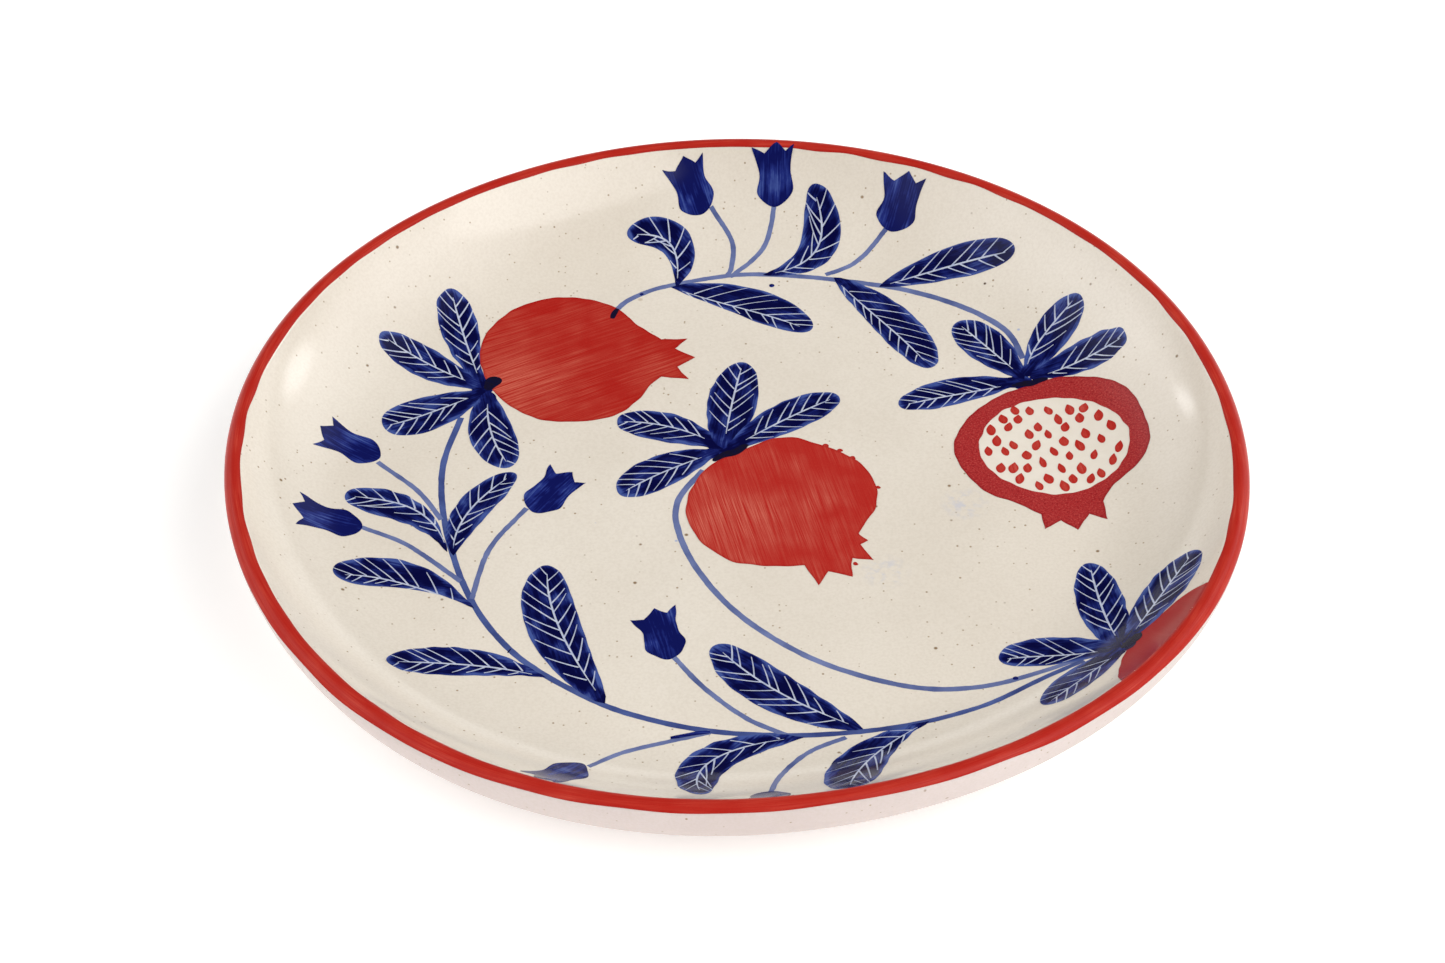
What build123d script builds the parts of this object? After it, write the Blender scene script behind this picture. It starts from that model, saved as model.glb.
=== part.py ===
from build123d import *
from math import cos, hypot, radians, sin
import os

# A hand painted dinner plate: a stoneware dish with a foot ring, its glaze coats, a red band
# on the lip, and pomegranates, leaves and flowers brushed on the face.
# Millimetres, +Z up, origin at the centre of the foot's underside.
# Motif points are (x, y) seen from above, with the bottom of the picture at -Y.

# ---- driving dimensions ----
PLATE_RADIUS = 133.0
PLATE_HEIGHT = 27.0
LIP_RADIUS = 2.7            # round bead of the lip
FLOOR_TOP = 7.3             # height of the flat floor of the dish
UNDERSIDE = 2.8             # height of the flat underside, clear of the table
FACE_SLOPE = 52.0           # degrees, where the inner wall meets the lip
BACK_SLOPE = 77.0           # degrees, where the outer wall meets the lip
GLAZE = 0.35                # thickness of a glaze coat
PAINT = 0.2                 # thickness of a painted film
FOOT_INNER = 70.0
FOOT_OUTER = 76.0
FOOT_ROUNDING = 0.8
BAND_INNER_ANGLE = 36.0     # degrees from the lip's crest, towards the dish
BAND_OUTER_ANGLE = 75.0     # degrees from the lip's crest, towards the outside
VINE_WIDTH = 1.9
STALK_WIDTH = 1.4

# ---- the two walls, each an arc tangent to its flat and to the lip ----
LIP_R = PLATE_RADIUS - LIP_RADIUS
LIP_Z = PLATE_HEIGHT - LIP_RADIUS


def on_lip(angle, radius):
    """A point of the lip's section, at an angle from the crest; positive is outside."""
    return LIP_R + radius * sin(radians(angle)), LIP_Z + radius * cos(radians(angle))


def wall_radius(end, slope, flat):
    """Radius of the arc that leaves a flat and reaches the lip at a slope."""
    return (end[1] - flat) / (1 - cos(radians(slope)))


FACE_END = on_lip(-FACE_SLOPE, LIP_RADIUS)
FACE_ARC = wall_radius(FACE_END, FACE_SLOPE, FLOOR_TOP)
FACE_CENTRE = (FACE_END[0] - FACE_ARC * sin(radians(FACE_SLOPE)), FLOOR_TOP + FACE_ARC)
BACK_END = on_lip(180 - BACK_SLOPE, LIP_RADIUS)
BACK_ARC = wall_radius(BACK_END, BACK_SLOPE, UNDERSIDE)
BACK_CENTRE = (BACK_END[0] - BACK_ARC * sin(radians(BACK_SLOPE)), UNDERSIDE + BACK_ARC)


# ---- sections ----
def outlined(*lines):
    """The flat face inside a closed run of lines, facing up."""
    face = Face(Wire([edge for line in lines for edge in line.edges()]))
    return face if face.normal_at().Z > 0 else -face


def arc(centre, radius, start, end):
    """An arc of the section; angles in degrees from straight down, positive outwards."""
    def at(angle):
        return (centre[0] + radius * sin(radians(angle)), centre[1] - radius * cos(radians(angle)))
    return ThreePointArc(at(start), at((start + end) / 2), at(end))


def face_line(depth, lip_angle):
    """The face's line at a depth under the glaze, from the axis to an angle on the lip."""
    radius = FACE_ARC + depth
    floor = Line((0, FLOOR_TOP - depth), (FACE_CENTRE[0], FLOOR_TOP - depth))
    wall = arc(FACE_CENTRE, radius, 0, FACE_SLOPE)
    lip = arc((LIP_R, LIP_Z), LIP_RADIUS - depth, 180 + FACE_SLOPE, 180 - lip_angle)
    return [floor, wall, lip]


def back_line(depth, start_r, lip_angle):
    """The back's line at a depth under the glaze, from a radius out to an angle on the lip."""
    flat = Line((start_r, UNDERSIDE + depth), (BACK_CENTRE[0], UNDERSIDE + depth))
    wall = arc(BACK_CENTRE, BACK_ARC - depth, 0, BACK_SLOPE)
    lip = arc((LIP_R, LIP_Z), LIP_RADIUS - depth, BACK_SLOPE, 180 - lip_angle)
    return [flat, wall, lip]


def turned(lines, closing):
    """Revolve a closed section, drawn in radius and height, about the plate's axis."""
    section = outlined(*lines, *closing)
    return revolve(Plane.XZ * section, Axis.Z, 360)


def skin(first, second):
    """A thin coat between two lines that run the same way."""
    closing = [Line(first[0] @ 0, second[0] @ 0), Line(first[-1] @ 1, second[-1] @ 1)]
    return turned(first + second, closing)


def clay_body():
    face = face_line(GLAZE, 0)
    back = back_line(GLAZE, 0, 0)
    return turned(face + back, [Line(face[0] @ 0, back[0] @ 0)])


def foot_ring():
    wall = Rectangle(FOOT_OUTER - FOOT_INNER, UNDERSIDE + GLAZE, align=(Align.MIN, Align.MIN))
    wall = fillet(wall.vertices().sort_by(Axis.Y)[:2], FOOT_ROUNDING)
    return revolve(Plane.XZ * (Pos(FOOT_INNER, 0) * wall), Axis.Z, 360)


def face_glaze():
    return skin(face_line(GLAZE, 0), face_line(0, 0))


def back_glaze():
    return skin(back_line(GLAZE, FOOT_OUTER, 0), back_line(0, FOOT_OUTER, 0))


def base_glaze():
    return Pos(0, 0, UNDERSIDE) * Cylinder(FOOT_INNER, GLAZE, align=(Align.CENTER, Align.CENTER, Align.MIN))


def rim_band():
    span = 180 + BAND_INNER_ANGLE, 180 - BAND_OUTER_ANGLE
    inner = arc((LIP_R, LIP_Z), LIP_RADIUS, *span)
    outer = arc((LIP_R, LIP_Z), LIP_RADIUS + PAINT, *span)
    return skin([inner], [outer])


def paint_coat():
    """The whole coat of paint that the motifs are cut from, out to the red band."""
    return skin(face_line(0, -BAND_INNER_ANGLE), face_line(-PAINT, -BAND_INNER_ANGLE))


# ---- brush shapes, drawn flat ----
def along(base, middle, tip, t):
    """A point and a unit direction on the smooth bend through three points."""
    bend = [2 * m - (b + e) / 2 for b, m, e in zip(base, middle, tip)]
    point = [(1 - t) ** 2 * b + 2 * t * (1 - t) * c + t * t * e for b, c, e in zip(base, bend, tip)]
    slope = [(1 - t) * (c - b) + t * (e - c) for b, c, e in zip(base, bend, tip)]
    size = hypot(*slope)
    return point, [slope[0] / size, slope[1] / size]


def smooth(points, closed=False, steps=4):
    """Points along the smooth curve through a few points, which may close on itself."""
    if closed:
        padded = [points[-1], *points, points[0], points[1]]
    else:
        padded = [points[0], *points, points[-1]]
    curve = []
    for before, start, end, after in zip(padded, padded[1:], padded[2:], padded[3:]):
        for t in [step / steps for step in range(steps)]:
            curve.append(tuple(
                s + 0.5 * t * (e - b + t * (2 * b - 5 * s + 4 * e - a + t * (3 * s - b - 3 * e + a)))
                for b, s, e, a in zip(before, start, end, after)))
    return curve if closed else curve + [points[-1]]


def sheet_of(points):
    """The flat face inside a ring of points."""
    return outlined(Polyline(*points, points[0]))


def leaf(base, middle, tip, width, widest=0.6, steps=9):
    """A leaf that narrows to its base, is widest part way along and has a round tip."""
    swell = 0.5 * widest / (1 - widest)
    sides = [[], []]
    for step in range(1, steps):
        t = 1 - (1 - step / steps) ** 1.4
        point, way = along(base, middle, tip, t)
        half = width / 2 * (t / widest) ** swell * ((1 - t) / (1 - widest)) ** 0.5
        sides[0].append((point[0] - way[1] * half, point[1] + way[0] * half))
        sides[1].append((point[0] + way[1] * half, point[1] - way[0] * half))
    return sheet_of([base] + sides[0] + [tip] + sides[1][::-1])


def stroke(points, width):
    """A brushed line of even width through a few points."""
    line = smooth(points, steps=3)
    sides = [[], []]
    for here, before, after in zip(line, [line[0]] + line, line[1:] + [line[-1]]):
        run = hypot(after[0] - before[0], after[1] - before[1])
        across = (before[1] - after[1]) / run * width / 2, (after[0] - before[0]) / run * width / 2
        sides[0].append((here[0] + across[0], here[1] + across[1]))
        sides[1].append((here[0] - across[0], here[1] - across[1]))
    return sheet_of(sides[0] + sides[1][::-1])


def flower(base, petals, width):
    """A tulip: a round cup on its base, ending in three pointed petals."""
    left, centre, right = [Vector(*p) for p in petals]
    foot = Vector(*base)
    up = (left + centre + right) / 3 - foot
    side = Vector(-up.Y, up.X).normalized()
    cup = foot + up * 0.25
    waist = foot + up * 0.6
    notches = [(left + centre) / 2 - up * 0.13, (centre + right) / 2 - up * 0.13]
    outline = [left, waist + side * (0.44 * width), cup + side * (0.5 * width), foot,
               cup - side * (0.5 * width), waist - side * (0.44 * width), right]
    return sheet_of(smooth([(p.X, p.Y) for p in outline]) + [(p.X, p.Y) for p in (notches[1], centre, notches[0])])


def fruit(body, crown):
    """A round body, drawn from neck to neck, closed by a pointed crown."""
    return sheet_of(smooth(body) + crown)


def seed(x, y, length, width, steps=5):
    """A teardrop with its point up."""
    centre = y - length / 2 + width / 2
    angles = [radians(180 * step / steps) for step in range(steps + 1)]
    bowl = [(x - width / 2 * cos(angle), centre - width / 2 * sin(angle)) for angle in angles]
    return sheet_of(bowl + [(x, y + length / 2)])


def calyx(centre, length, width, angle, steps=12):
    """An oval spot."""
    turns = [radians(360 * step / steps) for step in range(steps)]
    return Pos(*centre) * Rot(0, 0, angle) * sheet_of([(length * cos(t), width * sin(t)) for t in turns])


def joined(faces):
    """Several brush shapes as one flat sketch."""
    return Sketch() + faces


# ---- the fruits ----
FRUIT_LEFT = fruit(
    [(-20.8, 64.2), (-26.9, 70), (-35.4, 79.4), (-47.3, 82.6), (-60.8, 77.8), (-69.6, 66), (-70.5, 53.8),
     (-65.6, 40.6), (-56.2, 31.6), (-45.4, 29.1), (-33.8, 31.5), (-26.5, 38.5), (-23.8, 44.4), (-20.6, 48.1)],
    [(-13.1, 47.1), (-16.3, 52.3), (-11.4, 56.4), (-17.1, 60.2), (-13.6, 64.4)])
FRUIT_CENTRE = fruit(
    [(31.5, -15.5), (36.6, -4.5), (36.2, 5.4), (30.2, 14.8), (14.4, 22.6), (3.7, 18.7), (-7.9, 10.3),
     (-13.4, -4), (-10.5, -16.8), (-1.5, -26), (10.2, -28), (17.3, -27.7)],
    [(20.8, -35.2), (23.4, -30), (29.5, -31.9), (29.7, -24.8), (35.3, -25.8), (31.8, -19.7), (34, -18.2)])
RIND = fruit(
    [(96.6, -3), (100, 3.2), (108, 10.9), (110.4, 21.4), (105, 38.6), (91.4, 46.1), (80, 43.9), (68.6, 37.1),
     (60.7, 26.8), (58.4, 15.4), (64.6, 2.1), (73.6, -3.6), (79.9, -7.9)],
    [(80.4, -13.7), (84.9, -10.1), (89.1, -13.8), (92.5, -7.5), (97.1, -10.2)])
RIND_OPENING = sheet_of(smooth(
    [(65, 19.3), (68.6, 29.3), (76.4, 36.1), (86, 38.7), (96, 35.3), (103.9, 27.1), (105.5, 19.6),
     (101.4, 7.5), (91.4, 2.1), (82.9, -0.1), (73.6, 3.6), (66.4, 13.4)], closed=True))
FRUIT_EDGE = sheet_of(smooth(
    [(122, -58), (117.4, -53.6), (112.5, -51.9), (105, -56.8), (98.2, -63.7), (94.4, -73), (92.5, -82),
     (92.4, -90.5), (95, -97)]))

# rows of seeds in the cut fruit: height of the row's middle, then each seed's place across
SEED_SIZE = (4.2, 2.2)
SEED_ROWS = [
    (33.6, (75.6, 79.5, 84.6, 90.4, 94.3)), (30, (72.2, 76.2, 87.1, 92.9, 97.9)), (26.9, (73.4, 81.4, 88.8)),
    (25.6, (68.6, 100.9)), (24, (78.8, 83.9, 93.9)), (21.2, (70, 88, 97.9)), (19.4, (74.3, 80.5, 92.1)),
    (17, (67.4, 71.9, 85, 102.3)), (15.4, (77.6, 89.1, 95.7)), (12.7, (81.6, 100.4)),
    (10.3, (70.4, 73.8, 77.6, 86.6, 91.9)), (8, (96.9,)), (6.1, (75.2, 82.7, 89.3, 94)), (3.4, (80, 86.7))]

# ---- the leaves: base, middle, tip, width and where the leaf is widest ----
LEAVES_LEFT_FRUIT = [
    ((-69.6, 43), (-75.6, 61.5), (-79.9, 79.6), 10.8, 0.7), ((-70, 43.5), (-83.5, 51.3), (-98.2, 58.6), 11.2, 0.62),
    ((-68.5, 42), (-82, 33.4), (-95.4, 26), 13.4, 0.62), ((-67.5, 42), (-66.5, 26), (-60.4, 10.7), 12.2, 0.6)]
LEAVES_CENTRE_FRUIT = [
    ((-4.2, 18.6), (-18, 26.4), (-32.5, 29.2), 11.6, 0.6), ((-3.5, 18), (-1.3, 36), (1.9, 54), 13.4, 0.55),
    ((-2.5, 17.5), (11.8, 29.6), (27.9, 39.6), 11.6, 0.62), ((-4.5, 17), (-18.7, 10), (-31, -0.2), 12.2, 0.62)]
LEAVES_CUT_FRUIT = [
    ((78, 45.5), (61, 42.1), (44.4, 35.4), 10.6, 0.6), ((79, 46.8), (70.6, 59), (61.8, 70.9), 12.4, 0.62),
    ((79.5, 47.5), (86.3, 60.3), (95.2, 71.7), 11.2, 0.66), ((80.5, 47), (94.3, 51.8), (107, 53.8), 10.6, 0.62)]
LEAVES_EDGE_FRUIT = [
    ((95.7, -65), (92.7, -46), (91, -26.7), 11.8, 0.58), ((96.5, -64), (105.8, -48.3), (116.6, -33.2), 11.6, 0.64),
    ((95.5, -65.2), (80, -60.5), (65.4, -62.8), 11.2, 0.55), ((96, -65.8), (84.9, -74.3), (75, -85), 10.2, 0.58)]
LEAVES_UPPER_VINE = [
    ((-16.8, 87.5), (-17.2, 104.5), (-31, 105.8), 10.2, 0.62), ((-18.5, 87.5), (2.6, 81.1), (20.6, 67.9), 12.8, 0.62),
    ((7.6, 92.7), (23.2, 101.8), (22.3, 119.6), 11, 0.65), ((27.9, 91.2), (43.2, 72.9), (53.6, 51.5), 12.6, 0.6),
    ((40.6, 86.8), (59.8, 91.8), (78.8, 90.4), 10, 0.6)]
LEAVES_LEFT_VINE = [
    ((-75.3, -22.3), (-86.6, -6.8), (-103.4, -3), 10.2, 0.7), ((-73.6, -23.6), (-70.4, -7.6), (-59, 8.2), 9.4, 0.62),
    ((-67.3, -43), (-86.3, -30.8), (-103.3, -34.6), 11, 0.68)]
LEAVES_LOWER_VINE = [
    ((-48, -67.8), (-68.5, -62.2), (-87.7, -65.4), 10.6, 0.66), ((-33, -77.2), (-46.3, -51), (-49, -27.5), 13.8, 0.58),
    ((30.6, -87.4), (9.7, -74.4), (-5.8, -57), 13, 0.6), ((16.1, -89.9), (-6.5, -98), (-8.5, -115.8), 11.2, 0.62),
    ((46.9, -85.2), (30.8, -99.2), (26, -119), 13.4, 0.7)]

# the dark calyx where each fruit meets its leaves: centre, half length, half width, degrees
CALYX_LEFT = ((-67, 45.2), 2.9, 2.2, 60)
CALYX_CENTRE = ((-0.6, 16.6), 5.6, 1.9, 32)
CALYX_CUT = ((80.4, 45.2), 5.2, 1.5, 14)
CALYX_EDGE = ((98, -63.8), 3.4, 1.6, 42)

# ---- the flowers: base, three petal tips and width ----
FLOWERS_UPPER = [
    ((-9.4, 113.2), ((-21, 123), (-15, 126.4), (-9.4, 127.2)), 10.4),
    ((11.6, 115.1), ((5, 127), (12, 127.8), (16.6, 126.8)), 10.2),
    ((44.6, 104.6), ((42.6, 119.2), (49.8, 117.6), (54.6, 114.8)), 11.2)]
FLOWERS_LEFT = [
    ((-95.2, 14), ((-112.7, 12.7), (-111.5, 20.2), (-108.6, 25)), 10.2),
    ((-97.8, -13.9), ((-114.2, -19.8), (-115.6, -12.4), (-114.4, -6.8)), 10),
    ((-54, -6.9), ((-49.8, 11.6), (-43.8, 8.6), (-40, 4.4)), 10.8)]
FLOWERS_LOWER = [
    ((-17, -61.9), ((-27.4, -47.8), (-21.3, -43.5), (-15.9, -42.2)), 10.2),
    ((-37.6, -100.6), ((-43.6, -118), (-48.4, -115.6), (-52, -111)), 9.6),
    ((7.2, -115), ((12.6, -127), (7.4, -126.4), (2.2, -127.6)), 9.4)]

# ---- the stems: points along each brushed line ----
UPPER_VINE = [(-33.2, 77.8), (-29.6, 82.2), (-20.4, 87.6), (-1.6, 92.6), (12.8, 92.6), (29.6, 90), (48, 85),
              (64, 76.6), (75.2, 66.2), (79.2, 55)]
LEFT_VINE = [(-74.6, 30.8), (-78.4, 10), (-76, -14), (-68, -40.4), (-56, -59.6), (-40, -73.2), (-26.3, -81.1),
             (-7, -87.2), (15.2, -89.2), (38.9, -86.9), (59.6, -80.7), (76.1, -71.1), (86, -66.6)]
INNER_VINE = [(-9, 9.4), (-15.3, -1.9), (-15.6, -13.5), (-9.8, -30.3), (1.9, -47.8), (20.4, -63.3), (42.6, -72.4),
              (60.3, -72.6), (76.1, -68.2), (86, -65)]
STALKS = [
    [(-7, 115.4), (-1, 105.4), (-1.2, 96), (-2.4, 92.9)], [(11.3, 115.6), (8, 103), (-1.6, 92)],
    [(43, 105.6), (34.4, 96.6), (25.6, 92.4)], [(-95.8, 12), (-84.8, 1.6), (-77.6, -10)],
    [(-98, -13.8), (-86.4, -19.2), (-71.2, -33.2)], [(-55.4, -5.6), (-64.4, -21.2), (-68, -39.6)],
    [(-16.1, -61.2), (-8.5, -72.2), (1.9, -83), (11.5, -88.9)], [(-36.4, -101.6), (-27, -94.1), (-7, -87.6)],
    [(7.3, -116), (10, -105.6), (16.7, -95.9), (26.2, -90.3)]]


def drawing():
    """Every painted motif as a flat sketch, each trimmed by what is painted over it."""
    fruits = {
        "pomegranate_left": (joined([FRUIT_LEFT]), LEAVES_LEFT_FRUIT, CALYX_LEFT),
        "pomegranate_centre": (joined([FRUIT_CENTRE]), LEAVES_CENTRE_FRUIT, CALYX_CENTRE),
        "pomegranate_cut_rind": (joined([RIND]) - RIND_OPENING, LEAVES_CUT_FRUIT, CALYX_CUT),
        "pomegranate_edge": (joined([FRUIT_EDGE]), LEAVES_EDGE_FRUIT, CALYX_EDGE),
    }
    leaves = {
        "leaves_upper_vine": LEAVES_UPPER_VINE,
        "leaves_left_vine": LEAVES_LEFT_VINE,
        "leaves_lower_vine": LEAVES_LOWER_VINE,
    }
    flowers = {
        "tulips_upper": FLOWERS_UPPER,
        "tulips_left": FLOWERS_LEFT,
        "tulips_lower": FLOWERS_LOWER,
    }
    stems = {
        "upper_vine": [stroke(UPPER_VINE, VINE_WIDTH)],
        "left_vine": [stroke(LEFT_VINE, VINE_WIDTH)],
        "inner_vine": [stroke(INNER_VINE, VINE_WIDTH)],
        "flower_stalks": [stroke(points, STALK_WIDTH) for points in STALKS],
    }
    sheets = {}
    for name, (body, shapes, spot) in fruits.items():
        spray = joined([leaf(*shape) for shape in shapes]) - body + calyx(*spot)
        sheets[name] = body - spray
        sheets[name.replace("pomegranate", "leaves").replace("_rind", "")] = spray
    for name, shapes in leaves.items():
        sheets[name] = joined([leaf(*shape) for shape in shapes])
    for name, shapes in flowers.items():
        sheets[name] = joined([flower(*shape) for shape in shapes])
    covering = list(sheets.values())
    for name, shapes in stems.items():
        sheets[name] = joined(shapes) - covering
        covering.append(sheets[name])
    sheets["pomegranate_seeds"] = joined([seed(x, y, *SEED_SIZE) for y, row in SEED_ROWS for x in row])
    return sheets


def painted(sheet, coat):
    """A flat sketch as films of paint lying on the face."""
    films = [extrude(patch, PLATE_HEIGHT * 2, dir=(0, 0, 1)) & coat for patch in sheet.faces()]
    return [solid for film in films for solid in film.solids()]


def main():
    nodes = {
        "clay_body": clay_body().solids(),
        "foot_ring": foot_ring().solids(),
        "face_glaze": face_glaze().solids(),
        "back_glaze": back_glaze().solids(),
        "base_glaze": base_glaze().solids(),
        "rim_band": rim_band().solids(),
    }
    coat = paint_coat()
    for name, sheet in drawing().items():
        nodes[name] = painted(sheet, coat)
    os.makedirs("parts", exist_ok=True)
    for name, solids in nodes.items():
        export_step(Compound(children=solids, label=name), f"parts/{name}.step")


main()
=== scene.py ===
import math
import random
import bpy
import numpy as np
from mathutils import Matrix, Vector
from mathutils.geometry import delaunay_2d_cdt


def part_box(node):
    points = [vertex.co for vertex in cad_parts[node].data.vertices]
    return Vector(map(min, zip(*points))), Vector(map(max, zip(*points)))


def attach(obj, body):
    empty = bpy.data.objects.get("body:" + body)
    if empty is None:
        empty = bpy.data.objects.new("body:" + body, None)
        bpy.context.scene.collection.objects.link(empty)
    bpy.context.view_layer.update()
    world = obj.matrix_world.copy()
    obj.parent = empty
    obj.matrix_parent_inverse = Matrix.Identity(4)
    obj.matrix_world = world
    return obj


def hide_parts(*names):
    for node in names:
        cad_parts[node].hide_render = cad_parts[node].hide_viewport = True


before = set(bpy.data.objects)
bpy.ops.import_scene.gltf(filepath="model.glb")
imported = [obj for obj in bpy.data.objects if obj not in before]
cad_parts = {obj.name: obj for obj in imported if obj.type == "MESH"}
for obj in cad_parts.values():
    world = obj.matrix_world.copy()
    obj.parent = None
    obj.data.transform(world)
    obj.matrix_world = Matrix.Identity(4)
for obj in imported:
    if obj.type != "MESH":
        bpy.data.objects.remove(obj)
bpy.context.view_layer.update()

# The painted plate. Shapes are worked out in millimetres, in the frame's own axes, and made in metres.
# Motif points are (x, y) seen from above, with the side towards the camera at -Y.
MM = 0.001

# ---- sizes from the frame ----
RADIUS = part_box("back_glaze")[1].x / MM
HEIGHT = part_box("face_glaze")[1].z / MM
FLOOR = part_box("pomegranate_left")[0].z / MM
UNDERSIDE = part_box("base_glaze")[0].z / MM
FOOT_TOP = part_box("foot_ring")[1].z / MM

# ---- the section of the dish ----
LIP = 2.7                   # radius of the round lip
FACE_SLOPE = math.radians(52)
BACK_SLOPE = math.radians(77)
GLAZE = FOOT_TOP - UNDERSIDE
BAND_INNER = 36             # degrees from the lip's crest, towards the dish
UNDER_BAND = RADIUS - 3.7   # a radius that the band covers
LIP_R = RADIUS - LIP
LIP_Z = HEIGHT - LIP
FACE_END = (LIP_R - LIP * math.sin(FACE_SLOPE), LIP_Z + LIP * math.cos(FACE_SLOPE))
FACE_ARC = (FACE_END[1] - FLOOR) / (1 - math.cos(FACE_SLOPE))
FACE_R = FACE_END[0] - FACE_ARC * math.sin(FACE_SLOPE)
BACK_END = (LIP_R + LIP * math.sin(BACK_SLOPE), LIP_Z - LIP * math.cos(BACK_SLOPE))
BACK_ARC = (BACK_END[1] - UNDERSIDE) / (1 - math.cos(BACK_SLOPE))
BACK_R = BACK_END[0] - BACK_ARC * math.sin(BACK_SLOPE)

# the rim of a hand made plate isn't level: (times round, cosine part, sine part) in mm
RIM_WAVES = ((2, -0.62, -0.80), (3, -1.20, 0.71), (4, 0.18, 0.34))

# points round a turned surface, and round the clay that the glaze hides
AROUND = 384
CORE_AROUND = 192
RIDGES = 0.04               # height of the throwing ridges under the plate, in mm
RIDGE_TURN = 1.9            # radians of a ridge for each mm of radius

# how high each kind of paint stands on the glaze, in mm
LIFT = {"stem": 0.04, "seed": 0.05, "leaf": 0.09, "flower": 0.10, "fruit": 0.11,
        "calyx": 0.13, "band": 0.14}
SINK = 0.06                 # how far a film's edge goes down into the glaze
WASH = 0.03                 # height of the thin wash that a scratched vein leaves
BARE = 0.012                # height of the pale glaze in the cut fruit's opening
SPACING = 1.7               # between the points inside a film
FINE = 1.0                  # the same in a narrow film
LIP_SPACING = 0.9           # the same where a film goes over the tight curve of the lip
OUTLINE_STEP = 0.7          # between the points of an outline
INSET = 0.45                # from a film's outline to a first ring of points inside it
SOAKED = 2.2                # the paint's depth where strokes meet, and how fast it falls off
SOAKED_FALL = 0.3


def warp(x, y):
    """How far the hand made plate is off its true turned height."""
    turn = math.atan2(y, x)
    wave = sum(c * math.cos(n * turn) + s * math.sin(n * turn) for n, c, s in RIM_WAVES)
    return wave * (math.hypot(x, y) / RADIUS) ** 3


def face_height(r):
    """Height of the turned face at a radius, up to the lip's crest."""
    if r <= FACE_R:
        return FLOOR
    if r <= FACE_END[0]:
        return FLOOR + FACE_ARC - math.sqrt(FACE_ARC ** 2 - (r - FACE_R) ** 2)
    return LIP_Z + math.sqrt(max(LIP ** 2 - (r - LIP_R) ** 2, 0.01))


def on_face(x, y, lift):
    """A point on the face, or a little above it, and the face's normal there."""
    r = max(math.hypot(x, y), 0.001)
    step = 0.05
    slope = (face_height(r + step) - face_height(r - step)) / (2 * step)
    rise_x = slope * x / r + (warp(x + step, y) - warp(x - step, y)) / (2 * step)
    rise_y = slope * y / r + (warp(x, y + step) - warp(x, y - step)) / (2 * step)
    normal = Vector((-rise_x, -rise_y, 1)).normalized()
    return Vector((x, y, face_height(r) + warp(x, y))) + normal * lift, normal


# ---- meshes ----
def linked(name, data):
    """A new object in the scene."""
    made = bpy.data.objects.new(name, data)
    bpy.context.collection.objects.link(made)
    return made


def add_object(name, verts, faces, materials, slot, nodes=(), normals=None, kinds=None):
    """A mesh object from points in mm, riding on the plate's one body."""
    mesh = bpy.data.meshes.new(name)
    mesh.from_pydata([tuple(c * MM for c in v) for v in verts], [], faces)
    for material in materials:
        mesh.materials.append(material)
    if kinds:
        mesh.polygons.foreach_set("material_index", kinds)
    mesh.polygons.foreach_set("use_smooth", [True] * len(mesh.polygons))
    mesh.update()
    if normals:
        mesh.normals_split_custom_set_from_vertices(normals)
    piece = linked(name, mesh)
    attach(piece, "root")
    if nodes:
        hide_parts(*nodes)
    return piece


def arc_line(centre_r, centre_z, radius, start, end, steps):
    """Points of an arc of the section; angles in radians from straight down, positive outwards."""
    turns = [start + (end - start) * step / steps for step in range(steps + 1)]
    return [(centre_r + radius * math.sin(t), centre_z - radius * math.cos(t)) for t in turns]


def face_section(depth=0.0):
    """The face's section from the axis to the lip's crest, at a depth under the glaze."""
    floor = [(FACE_R * step / 40, FLOOR - depth) for step in range(40)]
    wall = arc_line(FACE_R, FLOOR + FACE_ARC, FACE_ARC + depth, 0, FACE_SLOPE, 60)
    lip = arc_line(LIP_R, LIP_Z, LIP - depth, math.pi + FACE_SLOPE, math.pi, 14)
    return floor + wall + lip[1:]


def back_section(depth=0.0):
    """The back's section from the axis to the lip's crest."""
    flat = [(BACK_R * step / 24, UNDERSIDE + depth) for step in range(24)]
    wall = arc_line(BACK_R, UNDERSIDE + BACK_ARC, BACK_ARC - depth, 0, BACK_SLOPE, 40)
    lip = arc_line(LIP_R, LIP_Z, LIP - depth, BACK_SLOPE, math.pi, 16)
    return flat + wall + lip[1:]


def lathe(section, around=AROUND, ridges=0.0):
    """Turn a section into rings, or one point where it meets the axis, with the hand made warp and, if
    asked, faint throwing ridges. The faces look to the left of the section's run."""
    verts, rings = [], []
    for r, z in section:
        ridge = ridges * max(0, 1 - r / BACK_R) * math.sin(r * RIDGE_TURN)
        count = around if r > 0 else 1
        rings.append([len(verts) + step % count for step in range(around + 1)])
        for step in range(count):
            turn = 2 * math.pi * step / around
            x = r * math.cos(turn)
            y = r * math.sin(turn)
            verts.append((x, y, z + ridge + warp(x, y)))
    return verts, joined(rings)


def joined(rings):
    """Faces between neighbouring rings of point numbers; a ring that is one point gives triangles."""
    return [tuple(dict.fromkeys((ring[step], beyond[step], beyond[step + 1], ring[step + 1])))
            for ring, beyond in zip(rings, rings[1:]) for step in range(len(ring) - 1)]


def coat(outside, inside):
    """A coat's closed section: its outside from the axis to the lip, and back along a coarser inside."""
    return outside + inside[:0:-4] + inside[:1]


def distances(outline, spots):
    """Each spot's distance to a closed outline, in mm."""
    ring = np.array(outline)
    run = np.roll(ring, -1, axis=0) - ring
    size = np.maximum((run ** 2).sum(axis=1), 1e-9)
    away = np.array(spots)[:, None, :] - ring[None]
    share = np.clip((away * run).sum(axis=2) / size, 0, 1)
    return np.sqrt(((away - share[..., None] * run) ** 2).sum(axis=2)).min(axis=1)


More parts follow.
